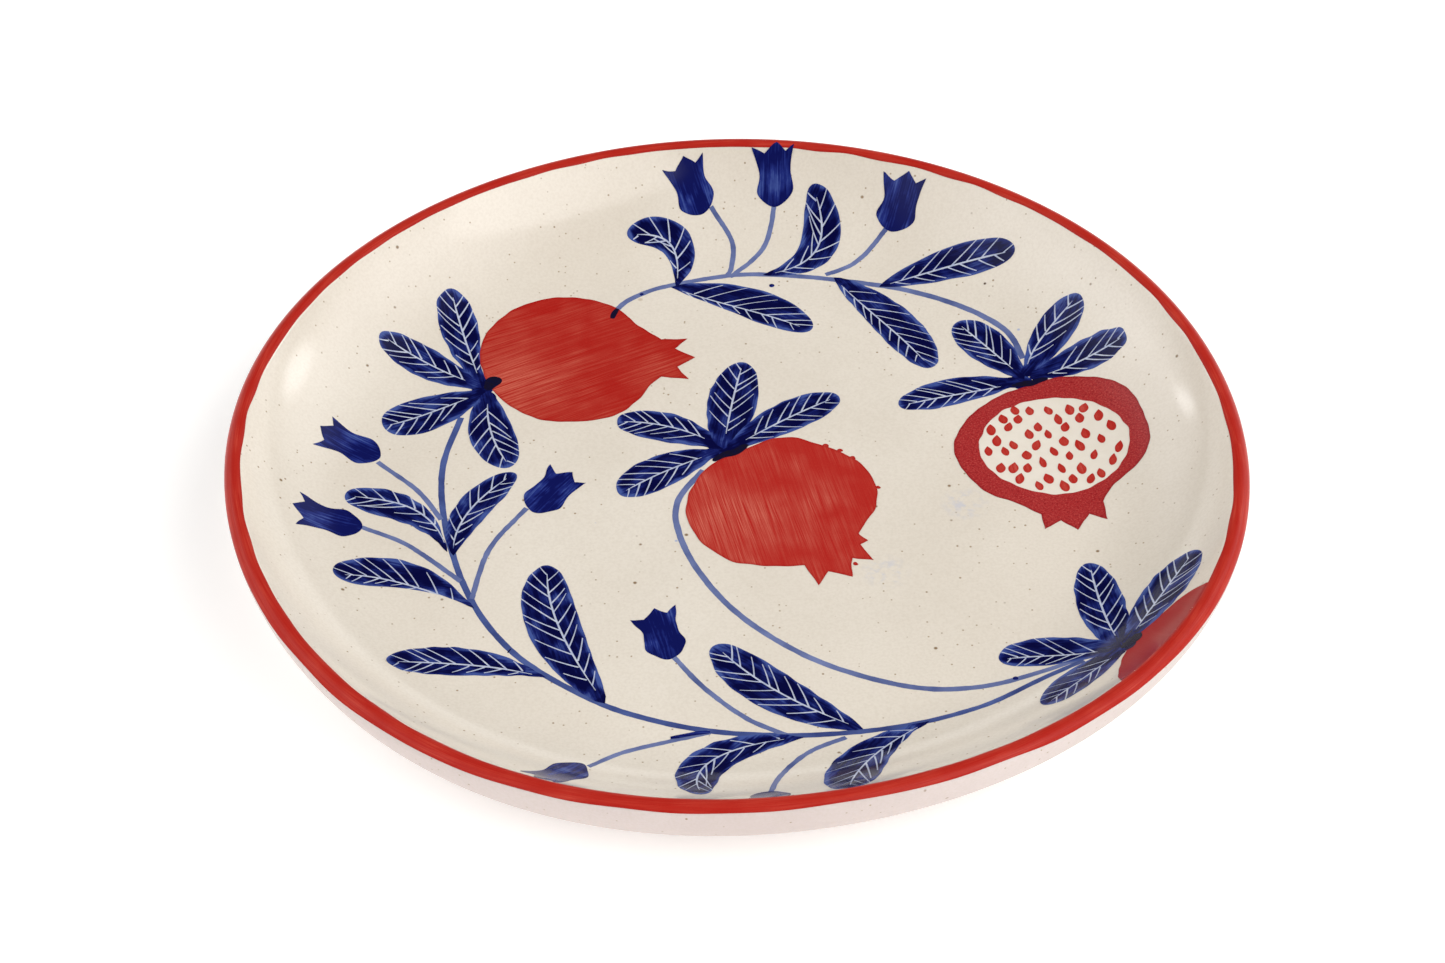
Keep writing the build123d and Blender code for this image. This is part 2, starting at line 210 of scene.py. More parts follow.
def anticlockwise(ring):
    """A ring of points that runs anticlockwise."""
    area = sum(a[0] * b[1] - b[0] * a[1] for a, b in zip(ring, ring[1:] + ring[:1]))
    return ring if area > 0 else ring[::-1]


def inset_ring(outline, depth):
    """Points a little inside an anticlockwise outline."""
    ring = []
    for before, here, after in zip(outline[-1:] + outline[:-1], outline, outline[1:] + outline[:1]):
        run = Vector((after[0] - before[0], after[1] - before[1]))
        if run.length:
            run = run.normalized() * depth
            ring.append((here[0] - run.y, here[1] + run.x))
    return ring


def filled(outline, cuts, spacing):
    """Flat points and triangles inside an outline: the painted ones, and those that the cuts lay bare."""
    outline = anticlockwise(outline)
    points = [Vector(p) for p in outline]
    rings = [list(range(len(points)))]
    for cut in cuts:
        rings.append(list(range(len(points), len(points) + len(cut))))
        points += [Vector(p) for p in anticlockwise(cut)]
    low_x, high_x = min(p[0] for p in outline), max(p[0] for p in outline)
    low_y, high_y = min(p[1] for p in outline), max(p[1] for p in outline)
    points += [Vector(p) for p in inset_ring(outline, INSET)]
    for row in range(int((high_y - low_y) / spacing) + 1):
        for column in range(int((high_x - low_x) / spacing) + 1):
            points.append(Vector((low_x + (column + 0.5 * (row % 2)) * spacing, low_y + row * spacing)))
    flat, _, triangles, _, _, owners = delaunay_2d_cdt(points, [], rings, 0, 1e-4, True)
    inside = [(tri, len(owner) > 1) for tri, owner in zip(triangles, owners) if 0 in owner]
    return flat, [tri for tri, bare in inside if not bare], [tri for tri, bare in inside if bare]


class Film:
    """Films of paint that lie on the face and make one object: each is an outline with a lift, and cuts
    that are scratched down to a thin wash. Its points also hold their place in the brush strokes."""

    def __init__(self):
        self.verts, self.normals, self.faces, self.kinds, self.places, self.edges = [], [], [], [], [], []

    def level(self, flat, group, height, brush, depths):
        """Number the points of a group of triangles, laid at one height."""
        numbers = {}
        for triangle in group:
            for corner in triangle:
                if corner not in numbers:
                    x, y = flat[corner]
                    extra = height if isinstance(height, float) else height(x, y)
                    point, normal = on_face(x, y, extra)
                    numbers[corner] = len(self.verts)
                    self.verts.append(point)
                    self.normals.append(normal)
                    self.places.append(brush(flat[corner]))
                    self.edges.append(depths[corner])
        return numbers

    def slab(self, flat, group, height, kind, brush, depths):
        """A closed film over a group of triangles, with its base sunk into the glaze."""
        top = self.level(flat, group, height, brush, depths)
        base = self.level(flat, group, -SINK, brush, depths)
        sides = {side for triangle in group for side in zip(triangle, [*triangle[1:], triangle[0]])}
        rim = sorted(side for side in sides if side[::-1] not in sides)
        self.faces += [[top[c] for c in triangle] for triangle in group]
        self.faces += [[base[c] for c in reversed(triangle)] for triangle in group]
        self.faces += [[top[b], top[a], base[a], base[b]] for a, b in rim]
        self.kinds += [kind] * (2 * len(group) + len(rim))

    def add(self, outline, lift, cuts=(), spacing=SPACING, brush=tuple, paint=0, wash=WASH, soaked=None):
        """One film; round the point where it is soaked, as where strokes meet, it has no pale margin."""
        flat, painted, scratched = filled(outline, cuts, spacing)
        depths = distances(outline, [tuple(p) for p in flat])
        if soaked:
            wet = [SOAKED - SOAKED_FALL * math.dist(p, soaked) for p in flat]
            depths = [max(pair) for pair in zip(depths, wet)]
        self.slab(flat, painted, lift, paint, brush, depths)
        self.slab(flat, scratched, wash, 1, brush, depths)

    def make(self, name, materials, slot, nodes):
        piece = add_object("painted_" + name, self.verts, self.faces, materials, slot, nodes,
                           self.normals, self.kinds)
        place = piece.data.attributes.new("brush", "FLOAT_VECTOR", "POINT")
        place.data.foreach_set("vector", [c for u, v in self.places for c in (u, v, 0)])
        edge = piece.data.attributes.new("edge", "FLOAT", "POINT")
        edge.data.foreach_set("value", self.edges)
        return piece


# ---- brush shapes ----
def smooth(points, closed=False, step=OUTLINE_STEP):
    """Points about a step apart on the smooth curve through a few points."""
    padded = [points[-1], *points, points[0], points[1]] if closed else [points[0], *points, points[-1]]
    curve = []
    for before, start, end, after in zip(padded, padded[1:], padded[2:], padded[3:]):
        count = max(2, round(math.dist(start, end) / step))
        for t in [number / count for number in range(count)]:
            curve.append(tuple(
                s + 0.5 * t * (e - b + t * (2 * b - 5 * s + 4 * e - a + t * (3 * s - b - 3 * e + a)))
                for b, s, e, a in zip(before, start, end, after)))
    return curve if closed else curve + [points[-1]]


def along(base, middle, tip, t):
    """A point and a unit direction on the smooth bend through three points."""
    bend = [2 * m - (b + e) / 2 for b, m, e in zip(base, middle, tip)]
    point = Vector([(1 - t) ** 2 * b + 2 * t * (1 - t) * c + t * t * e for b, c, e in zip(base, bend, tip)])
    way = Vector([(1 - t) * (c - b) + t * (e - c) for b, c, e in zip(base, bend, tip)]).normalized()
    return point, way


def to_left(way):
    return Vector((-way.y, way.x))


def brush_line(line, widths):
    """A closed outline round a line, with a width at each of its points."""
    left, right = [], []
    for here, before, after, width in zip(line, [line[0]] + line, line[1:] + [line[-1]], widths):
        across = to_left((Vector(after) - Vector(before)).normalized()) * (width / 2)
        left.append((here[0] + across.x, here[1] + across.y))
        right.append((here[0] - across.x, here[1] - across.y))
    return left + right[::-1]


def straight(points):
    """Points about a step apart on the straight runs between points."""
    line = []
    for a, b in zip(points, points[1:]):
        count = max(1, round(math.dist(a, b) / OUTLINE_STEP))
        line += [(a[0] + (b[0] - a[0]) * n / count, a[1] + (b[1] - a[1]) * n / count) for n in range(count)]
    return line + [points[-1]]


def shaky(outline, amount, seed):
    """An outline with the small unevenness of a brushed edge."""
    chance = random.Random(seed)
    waves = [(chance.uniform(0.25, 1.3), chance.uniform(0, 6.3), chance.uniform(0.4, 1)) for _ in range(5)]
    made = []
    run = 0
    for before, here, after in zip(outline[-1:] + outline[:-1], outline, outline[1:] + outline[:1]):
        run += math.dist(before, here)
        way = Vector((after[0] - before[0], after[1] - before[1]))
        push = to_left(way.normalized()) if way.length else Vector((0, 0))
        size = amount * sum(weight * math.sin(run * rate + turn) for rate, turn, weight in waves) / 2
        made.append((here[0] + push.x * size, here[1] + push.y * size))
    return made


# ---- materials ----
def node(tree, kind, **settings):
    """A shader node: each setting is a property, or an input's value, or an output to link to it."""
    made = tree.nodes.new(kind)
    for key, value in settings.items():
        if key not in made.inputs:
            setattr(made, key, value)
        elif isinstance(value, bpy.types.NodeSocket):
            tree.links.new(value, made.inputs[key])
        else:
            made.inputs[key].default_value = value
    return made


def ramp(tree, source, stops):
    """Colours at places along a value."""
    made = node(tree, "ShaderNodeValToRGB", Fac=source)
    colours = made.color_ramp.elements
    while len(colours) < len(stops):
        colours.new(0.5)
    for element, (place, colour) in zip(colours, stops):
        element.position = place
        element.color = (*colour, 1)
    return made.outputs["Color"]


def mix(tree, amount, first, second):
    """Two colours mixed by a number or a value."""
    made = tree.nodes.new("ShaderNodeMix")
    made.data_type = "RGBA"
    if isinstance(amount, (int, float)):
        made.inputs[0].default_value = amount
    else:
        tree.links.new(amount, made.inputs[0])
    for socket, value in ((made.inputs[6], first), (made.inputs[7], second)):
        if isinstance(value, tuple):
            socket.default_value = (*value, 1)
        else:
            tree.links.new(value, socket)
    return made.outputs[2]


def noise(tree, place, scale, detail, stretch=(1, 1, 1), turn=0.0):
    """Noise over a place, turned and then stretched."""
    turned = node(tree, "ShaderNodeMapping", Vector=place, Rotation=(0, 0, turn)).outputs["Vector"]
    stretched = node(tree, "ShaderNodeMapping", Vector=turned, Scale=stretch).outputs["Vector"]
    return node(tree, "ShaderNodeTexNoise", Vector=stretched, Scale=scale, Detail=detail).outputs["Fac"]


def spread(tree, value, low, high, to_low=0.0, to_high=1.0):
    """A value's range stretched to another range."""
    ranges = {"From Min": low, "From Max": high, "To Min": to_low, "To Max": to_high}
    return node(tree, "ShaderNodeMapRange", Value=value, **ranges).outputs["Result"]


def combine(tree, operation, *values):
    """A maths node on values and numbers."""
    made = node(tree, "ShaderNodeMath", operation=operation)
    for socket, value in zip(made.inputs, values):
        if isinstance(value, (int, float)):
            socket.default_value = value
        else:
            tree.links.new(value, socket)
    return made.outputs[0]


def distance_from(tree, place, point):
    apart = node(tree, "ShaderNodeVectorMath", operation="DISTANCE")
    tree.links.new(place, apart.inputs[0])
    apart.inputs[1].default_value = point
    return apart.outputs["Value"]


def attribute(tree, name, output):
    return node(tree, "ShaderNodeAttribute", attribute_name=name).outputs[output]


def surface(name, roughness, specular):
    """A new material, its tree and its shader."""
    material = bpy.data.materials.new(name)
    material.use_nodes = True
    tree = material.node_tree
    shader = tree.nodes["Principled BSDF"]
    shader.inputs["Roughness"].default_value = roughness
    shader.inputs["Specular IOR Level"].default_value = specular
    return material, tree, shader


def object_place(tree):
    return node(tree, "ShaderNodeTexCoord").outputs["Object"]


def glaze_surface(tree, shader, colour, strength=0.05):
    """A colour, and the faint ripple of a poured glaze, from broad waves and fine orange peel."""
    tree.links.new(colour, shader.inputs["Base Color"])
    place = object_place(tree)
    broad = noise(tree, place, 90, 2)
    fine = noise(tree, place, 900, 2)
    both = mix(tree, 0.25, broad, fine)
    bump = node(tree, "ShaderNodeBump", Strength=strength, Distance=0.0004, Height=both)
    tree.links.new(bump.outputs["Normal"], shader.inputs["Normal"])


def specks(tree, place, scale, size, keep, seed):
    """Sparse round specks: a mask from cells, of which only a few are kept."""
    shifted = node(tree, "ShaderNodeMapping", Vector=place, Location=(seed, seed * 0.7, seed * 0.3))
    cells = node(tree, "ShaderNodeTexVoronoi", Vector=shifted.outputs["Vector"], Scale=scale)
    near = spread(tree, cells.outputs["Distance"], size * 0.5, size, 1, 0)
    parts = node(tree, "ShaderNodeSeparateColor", Color=cells.outputs["Color"])
    chosen = combine(tree, "GREATER_THAN", parts.outputs["Red"], 1 - keep)
    return combine(tree, "MULTIPLY", near, chosen)


def smudge(tree, place, x, y, size):
    """A soft uneven mask round a point given in mm."""
    apart = distance_from(tree, place, (x * MM, y * MM, FLOOR * MM))
    near = spread(tree, apart, 0.25 * size * MM, size * MM, 1, 0)
    patches = spread(tree, noise(tree, place, 500, 3), 0.45, 0.65, 0, 0.5)
    return combine(tree, "MULTIPLY", near, patches)


def glaze_material(name, light, shade, smudges, gloss=(0.14, 0.5)):
    """Cream glaze over a speckled body: clouds, fine grain, iron specks of several sizes and pinholes."""
    material, tree, shader = surface(name, *gloss)
    place = object_place(tree)
    clouds = spread(tree, noise(tree, place, 26, 4), 0.3, 0.7)
    colour = mix(tree, clouds, light, shade)
    grain = spread(tree, noise(tree, place, 1300, 2), 0.38, 0.68, 0, 0.16)
    colour = mix(tree, grain, colour, (0.52, 0.43, 0.32))
    for x, y, size in smudges:
        colour = mix(tree, smudge(tree, place, x, y, size), colour, (0.50, 0.52, 0.64))
    for scale, size, keep, seed, tint in SPECKS:
        colour = mix(tree, specks(tree, place, scale, size, keep, seed), colour, tint)
    glaze_surface(tree, shader, colour, 0.06)
    return material


def red_material(name, deep, light, pooled, streak_turn, streaks, grain, lit=None, gloss=(0.14, 0.13)):
    """Brushed red: hairs and strokes along one way, thinnest round a lit place, and darker at its edge."""
    material, tree, shader = surface(name, *gloss)
    place = attribute(tree, "brush", "Vector")
    hairs = noise(tree, place, 1.0, 4, (0.05, 3.6, 1), streak_turn)
    hairs = spread(tree, hairs, 0.40, 0.64, 0, 0.65 * streaks)
    wisps = noise(tree, place, 1.0, 3, (0.03, 1.1, 1), streak_turn + 0.07)
    wisps = spread(tree, wisps, 0.42, 0.68, 0, 0.5 * streaks)
    area = spread(tree, noise(tree, place, 0.07, 2), 0.40, 0.66, 0.2, 0.8)
    strokes = combine(tree, "ADD", hairs, wisps)
    if lit:
        x, y, reach = lit
        apart = distance_from(tree, place, (x, y, 0))
        area = combine(tree, "ADD", area, spread(tree, apart, 0.25 * reach, reach, 0.6, -0.1))
    colour = mix(tree, combine(tree, "MULTIPLY", strokes, area), deep, light)
    speckle = spread(tree, noise(tree, place, 1.5, 3), 0.42, 0.70, 0, 0.14 + grain)
    colour = mix(tree, speckle, colour, pooled)
    pale = spread(tree, noise(tree, place, 2.4, 2), 0.50, 0.75, 0, 0.08 + grain)
    colour = mix(tree, pale, colour, light)
    rim = spread(tree, attribute(tree, "edge", "Fac"), 0.1, 0.8, 0.45, 0)
    colour = mix(tree, rim, colour, pooled)
    glaze_surface(tree, shader, colour)
    return material


def blue_material(name, deep, middle, light, margin, streaks, pooled=0.0):
    """Brushed cobalt: deep where the brush was full, thin at the margin or pooled along it."""
    material, tree, shader = surface(name, 0.11, 0.15)
    place = attribute(tree, "brush", "Vector")
    hairs = noise(tree, place, 1.0, 4, (0.10, 1.7, 1))
    hairs = spread(tree, hairs, 0.3, 0.7, -0.28 * streaks, 0.28 * streaks)
    pools = spread(tree, noise(tree, place, 0.13, 4, (1, 1.6, 1)), 0.3, 0.7, -0.46, 0.44)
    inside = spread(tree, attribute(tree, "edge", "Fac"), 0.0, margin, 0.05 + pooled, 0.62)
    wet = combine(tree, "ADD", combine(tree, "ADD", hairs, pools), inside)
    colour = ramp(tree, wet, [(0.0, light), (0.36, middle), (0.68, deep)])
    glaze_surface(tree, shader, colour)
    return material


def wash_material(name, colour_thin, colour_thick, scale):
    """A thin wash of one colour that varies along the brush stroke."""
    material, tree, shader = surface(name, 0.11, 0.2)
    place = attribute(tree, "brush", "Vector")
    amount = spread(tree, noise(tree, place, scale, 4), 0.32, 0.68)
    glaze_surface(tree, shader, mix(tree, amount, colour_thin, colour_thick))
    return material


def clay_material():
    """Bare fired clay: warm, matt and gritty."""
    material, tree, shader = surface("bare_clay", 0.85, 0.2)
    place = object_place(tree)
    clouds = spread(tree, noise(tree, place, 60, 5), 0.35, 0.65)
    colour = mix(tree, clouds, (0.62, 0.52, 0.41), (0.50, 0.39, 0.29))
    colour = mix(tree, specks(tree, place, 900, 0.2, 0.2, 2.3), colour, (0.20, 0.12, 0.07))
    tree.links.new(colour, shader.inputs["Base Color"])
    grit = noise(tree, place, 2600, 3)
    bump = node(tree, "ShaderNodeBump", Strength=0.5, Distance=0.0003, Height=grit)
    tree.links.new(bump.outputs["Normal"], shader.inputs["Normal"])
    return material


# specks in the glaze: how fine their cells are, their size in a cell, the share kept, a seed, and a colour
SPECKS = (
    (160, 0.10, 0.24, 3.1, (0.26, 0.17, 0.09)), (330, 0.13, 0.16, 1.7, (0.36, 0.26, 0.16)),
    (560, 0.19, 0.14, 4.4, (0.42, 0.32, 0.21)), (62, 0.032, 0.13, 7.3, (0.10, 0.055, 0.035)),
    (95, 0.05, 0.05, 5.9, (0.42, 0.46, 0.62)), (75, 0.075, 0.07, 9.2, (0.60, 0.50, 0.38)))
FACE_GLAZE = glaze_material("face_glaze", (0.81, 0.74, 0.64), (0.755, 0.683, 0.583),
                            [(60, -4, 7), (38, -30, 7)])
# painted shade: the back is the same cream glaze as the face, given darker colours here for the shade under
# the plate
SHADED_BACK_GLAZE = glaze_material("back_glaze", (0.70, 0.61, 0.585), (0.65, 0.56, 0.535), (), (0.45, 0.08))
CLAY = clay_material()
BAND_RED = red_material("band_red", (0.42, 0.016, 0.010), (0.56, 0.062, 0.038), (0.34, 0.011, 0.009),
                        0.0, 1.1, 0.0, None, (0.28, 0.09))
FRUIT_RED = red_material("fruit_red", (0.395, 0.013, 0.009), (0.60, 0.13, 0.085), (0.31, 0.006, 0.008),
                         -0.52, 0.9, 0.0, (-61, 46, 24))
STEEP_RED = red_material("steep_red", (0.43, 0.019, 0.014), (0.61, 0.145, 0.10), (0.33, 0.007, 0.008),
                         -1.82, 0.95, 0.0, (-4, -12, 22))
RIND_RED = red_material("rind_red", (0.38, 0.024, 0.025), (0.56, 0.095, 0.080), (0.22, 0.006, 0.011),
                        0.9, 0.35, 0.62, None, (0.22, 0.2))
# painted shade: the edge fruit is the same red paint as the other fruits, given darker colours here for the
# shade on the wall by the rim
SHADED_EDGE_RED = red_material("shaded_edge_red", (0.37, 0.020, 0.020), (0.44, 0.050, 0.045), (0.30, 0.010, 0.010),
                        1.2, 0.5, 0.1, None, (0.20, 0.05))
SEED_RED = red_material("seed_red", (0.44, 0.022, 0.016), (0.60, 0.12, 0.09), (0.40, 0.012, 0.010),
                        1.4, 0.9, 0.1)
LEAF_BLUE = blue_material("leaf_blue", (0.0020, 0.0024, 0.042), (0.009, 0.015, 0.125), (0.055, 0.090, 0.30),
                          1.5, 0.7)
TULIP_BLUE = blue_material("tulip_blue", (0.0045, 0.007, 0.088), (0.015, 0.026, 0.185), (0.055, 0.090, 0.30),
                           1.8, 1.25, 0.56)
SCRATCH = wash_material("scratched_wash", (0.60, 0.63, 0.72), (0.41, 0.46, 0.64), 0.5)
STEM_BLUE = wash_material("stem_blue", (0.175, 0.215, 0.41), (0.080, 0.105, 0.255), 0.12)
VINE_BLUE = wash_material("vine_blue", (0.085, 0.125, 0.33), (0.040, 0.058, 0.19), 0.12)
DEEP_BLUE = wash_material("calyx_blue", (0.0045, 0.005, 0.030), (0.009, 0.006, 0.016), 0.6)
BARE_WASH = wash_material("bare_glaze", (0.80, 0.735, 0.64), (0.77, 0.70, 0.60), 0.3)


# ---- body and glaze ----
def make_body():
    core = face_section(GLAZE) + back_section(GLAZE)[-2::-1]
    add_object("clay_core", *lathe(core, CORE_AROUND), [CLAY], "clay", ["clay_body"])
    face = coat(face_section(), face_section(GLAZE))
    add_object("glazed_face", *lathe(face), [FACE_GLAZE], "cream_glaze", ["face_glaze"])
    back = coat(back_section(), back_section(GLAZE))[::-1]
    back_nodes = ["back_glaze", "base_glaze"]
    add_object("glazed_back", *lathe(back, ridges=RIDGES), [SHADED_BACK_GLAZE], "pale_glaze", back_nodes)
    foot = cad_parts["foot_ring"]
    foot.data.materials.clear()
    foot.data.materials.append(CLAY)


def unevenness(chance, waves, lowest, highest):
    """A smooth random function of an angle that closes on itself."""
    terms = [(chance.randint(lowest, highest), chance.uniform(0, 6.3), chance.uniform(0.3, 1))
             for _ in range(waves)]
    return lambda turn: sum(size * math.sin(n * turn + shift) for n, shift, size in terms) / waves


# paint that crosses the band rises by this much in 1 mm, from this radius outwards
BAND_RISE = 0.12
BAND_FROM = 126.6

# the band's edges, in degrees from the crest, and how far they wander: its outer edge is
# higher on the side towards the camera, and its inner edge wider on the far side
BAND_OUTER = 78
NEAR_LESS = 22
FAR_MORE = 7
INNER_WANDER = 9
OUTER_WANDER = 10


def make_band():
    """The red band brushed over the lip: uneven edges, and shortest over the side towards the viewer."""
    chance = random.Random(11)
    inner_wave = unevenness(chance, 6, 9, 60)
    outer_wave = unevenness(chance, 6, 7, 50)
    around = 720
    across = 14
    ring = 2 * (across + 1)
    band = Film()
    for step in range(around):
        turn = 2 * math.pi * step / around
        near = max(0.0, -math.sin(turn)) ** 2
        start = -BAND_INNER - FAR_MORE * max(0.0, math.sin(turn)) - INNER_WANDER * inner_wave(turn)
        stop = BAND_OUTER - NEAR_LESS * near + OUTER_WANDER * outer_wave(turn)
        for number in range(ring):
            sunk = number > across
            share = (ring - 1 - number if sunk else number) / across
            angle = math.radians(start + (stop - start) * share)
            fullness = min(1, 0.55 + 9 * share * (1 - share))
            reach = LIP + (-SINK if sunk else LIFT["band"] * fullness)
            r = LIP_R + reach * math.sin(angle)
            x, y = r * math.cos(turn), r * math.sin(turn)
            band.verts.append((x, y, LIP_Z + reach * math.cos(angle) + warp(x, y)))
            outwards = math.sin(angle)
            band.normals.append((outwards * math.cos(turn), outwards * math.sin(turn), math.cos(angle)))
            band.places.append((turn * LIP_R, LIP * angle))
            band.edges.append(LIP * math.radians(stop - start) * min(share, 1 - share))
    for step in range(around):
        after = (step + 1) % around
        for number in range(ring):
            beyond = (number + 1) % ring
            a, b = step * ring + number, after * ring + number
            band.faces.append((a, step * ring + beyond, after * ring + beyond, b))
    band.kinds = [0] * len(band.faces)
    band.make("red_band", [BAND_RED], "red_paint", ["rim_band"])


# ---- the painting, in mm ----
LEFT_FRUIT = (
    [(-20.8, 64.2), (-26.9, 70), (-35.4, 79.4), (-47.3, 82.6), (-60.8, 77.8), (-69.6, 66), (-70.5, 53.8),
     (-65.6, 40.6), (-56.2, 31.6), (-45.4, 29.1), (-33.8, 31.5), (-26.5, 38.5), (-23.8, 44.4), (-20.6, 48.1)],
    [(-13.1, 47.1), (-16.3, 52.3), (-11.4, 56.4), (-17.1, 60.2), (-13.6, 64.4)])
CENTRE_FRUIT = (
    [(31.5, -15.5), (36.6, -4.5), (36.2, 5.4), (30.2, 14.8), (14.4, 22.6), (3.7, 18.7), (-7.9, 10.3),
     (-13.4, -4), (-10.5, -16.8), (-1.5, -26), (10.2, -28), (17.3, -27.7)],
    [(20.8, -35.2), (23.4, -30), (29.5, -31.9), (29.7, -24.8), (35.3, -25.8), (31.8, -19.7), (34, -18.2)])
RIND = (
    [(96.6, -3), (100, 3.2), (108, 10.9), (110.4, 21.4), (105, 38.6), (91.4, 46.1), (80, 43.9), (68.6, 37.1),
     (60.7, 26.8), (58.4, 15.4), (64.6, 2.1), (73.6, -3.6), (79.9, -7.9)],
    [(80.4, -13.7), (84.9, -10.1), (89.1, -13.8), (92.5, -7.5), (97.1, -10.2)])
RIND_OPENING = [
    (65, 19.3), (68.6, 29.3), (76.4, 36.1), (86, 38.7), (96, 35.6), (103, 28.6), (105.3, 19.6),
    (101.8, 9.4), (92.4, 2.1), (82.9, -0.1), (73.6, 3.6), (66.8, 10.6)]
EDGE_LIFT = 0.06            # lower than the band's thin edge
EDGE_SPACING = 0.8
EDGE_FRUIT = [
    (122, -58), (117.4, -53.6), (112.5, -51.9), (105, -56.8), (98.2, -63.7), (94.4, -73), (92.5, -82),
    (92.4, -90.5), (95, -97)]

# rows of seeds in the cut fruit: height of the row's middle, then each seed's place across
SEED_LENGTH = 4.1
SEED_WIDTH = 2.3
SEED_ROWS = [
    (33.6, (75.6, 79.5, 84.6, 90.4, 94.3)), (30, (72.2, 76.2, 87.1, 92.9, 97.9)), (26.9, (73.4, 81.4, 88.8)),
    (25.6, (68.6, 100.9)), (24, (78.8, 83.9, 93.9)), (21.2, (70, 88, 97.9)), (19.4, (74.3, 80.5, 92.1)),
    (17, (67.4, 71.9, 85, 102.3)), (15.4, (77.6, 89.1, 95.7)), (12.7, (81.6, 100.4)),
    (10.3, (70.4, 73.8, 77.6, 86.6, 91.9)), (8, (96.9,)), (6.1, (75.2, 82.7, 89.3, 94)), (3.4, (80, 86.7))]

# the leaves: base, middle, tip, width, where the leaf is widest, and how far its rib bows to the left
LEAVES = {
    "leaves_left": [
        ((-69.6, 43), (-75.6, 61.5), (-79.9, 79.6), 10.8, 0.7, -0.8),
        ((-70, 43.5), (-83.5, 51.3), (-98.2, 58.6), 11.2, 0.62, -0.3),
        ((-68.5, 42), (-82, 33.4), (-95.4, 26), 13.4, 0.62, 0),
        ((-67.5, 42), (-66.5, 26), (-60.4, 10.7), 12.2, 0.6, 0)],
    "leaves_centre": [
        ((-4.2, 18.6), (-18, 26.4), (-32.5, 29.2), 11.6, 0.6, -0.6),
        ((-3.5, 18), (-1.3, 36), (1.9, 54), 13.4, 0.55, 0),
        ((-2.5, 17.5), (11.8, 29.6), (27.9, 39.6), 11.6, 0.62, -0.5),
        ((-4.5, 17), (-18.7, 10), (-31, -0.2), 12.2, 0.62, 0.7)],
    "leaves_cut": [
        ((78, 45.5), (61, 42.1), (44.4, 35.4), 10.6, 0.6, 1.6),
        ((79, 46.8), (70.6, 59), (61.8, 70.9), 12.4, 0.62, 0),
        ((79.5, 47.5), (86.3, 60.3), (95.2, 71.7), 11.2, 0.66, 2.0),
        ((80.5, 47), (94.3, 51.8), (107, 53.8), 10.6, 0.62, -1.1)],
    "leaves_edge": [
        ((95.7, -65), (92.7, -46), (91, -26.7), 11.8, 0.58, 0),
        ((96.5, -64), (105.8, -48.3), (116.6, -33.2), 11.6, 0.64, 0),
        ((95.5, -65.2), (80, -60.5), (65.4, -62.8), 11.2, 0.55, 1.9),
        ((96, -65.8), (84.9, -74.3), (75, -85), 10.2, 0.58, 1.0)],
    "leaves_upper_vine": [
        ((-16.8, 87.5), (-17.2, 104.5), (-31, 105.8), 10.2, 0.62, 1.5),
        ((-18.5, 87.5), (2.6, 81.1), (20.6, 67.9), 12.8, 0.62, -3.4),
        ((7.6, 92.7), (23.2, 101.8), (22.3, 119.6), 11, 0.65, 0),
        ((27.9, 91.2), (43.2, 72.9), (53.6, 51.5), 12.6, 0.6, -2.5),
        ((40.6, 86.8), (59.8, 91.8), (78.8, 90.4), 10, 0.6, -0.7)],
    "leaves_left_vine": [
        ((-75.3, -22.3), (-86.6, -6.8), (-103.4, -3), 10.2, 0.7, -1.5),
        ((-73.6, -23.6), (-70.4, -7.6), (-59, 8.2), 9.4, 0.62, 0.4),
        ((-67.3, -43), (-86.3, -30.8), (-103.3, -34.6), 11, 0.68, 3.0)],
    "leaves_lower_vine": [
        ((-48, -67.8), (-68.5, -62.2), (-87.7, -65.4), 10.6, 0.66, 0.9),
        ((-33, -77.2), (-46.3, -51), (-49, -27.5), 13.8, 0.58, -1.2),
        ((30.6, -87.4), (9.7, -74.4), (-5.8, -57), 13, 0.6, -0.5),
        ((16.1, -89.9), (-6.5, -98), (-8.5, -115.8), 11.2, 0.62, 0),
        ((46.9, -85.2), (30.8, -99.2), (26, -119), 13.4, 0.7, 1.2)],
}

# the dark calyx where each fruit meets its leaves: centre, half length, half width, degrees
CALYXES = {
    "leaves_left": ((-67, 45.2), 2.9, 2.2, 60),
    "leaves_centre": ((-1.6, 16.3), 5.6, 1.3, 33),
    "leaves_cut": ((80.4, 45.0), 5.2, 1.1, 14),
    "leaves_edge": ((98, -63.8), 3.4, 1.6, 42),
}

# the flowers: base, three petal tips and width
TULIPS = {
    "tulips_upper": [
        ((-9.4, 113.2), ((-21, 123), (-15, 126.4), (-9.4, 127.2)), 10.4),
        ((11.6, 115.1), ((4.8, 128.2), (12, 129.4), (17, 128.6)), 10.2),
        ((44.6, 104.6), ((42.6, 119.2), (49.8, 117.6), (54.6, 114.8)), 11.2)],
    "tulips_left": [
        ((-95.2, 14), ((-112.7, 12.7), (-111.5, 20.2), (-108.6, 25)), 10.2),
        ((-97.8, -13.9), ((-114.2, -19.8), (-115.6, -12.4), (-114.4, -6.8)), 10),
        ((-54, -6.9), ((-49.8, 11.6), (-43.8, 8.6), (-40, 4.4)), 10.8)],
    "tulips_lower": [
        ((-17, -61.9), ((-27.4, -47.8), (-21.3, -43.5), (-15.9, -42.2)), 10.2),
        ((-37.6, -100.6), ((-43.6, -118), (-48.4, -115.6), (-52, -111)), 9.6),
        ((7.2, -115), ((12.6, -127), (7.4, -126.4), (2.2, -127.6)), 9.4)],
}

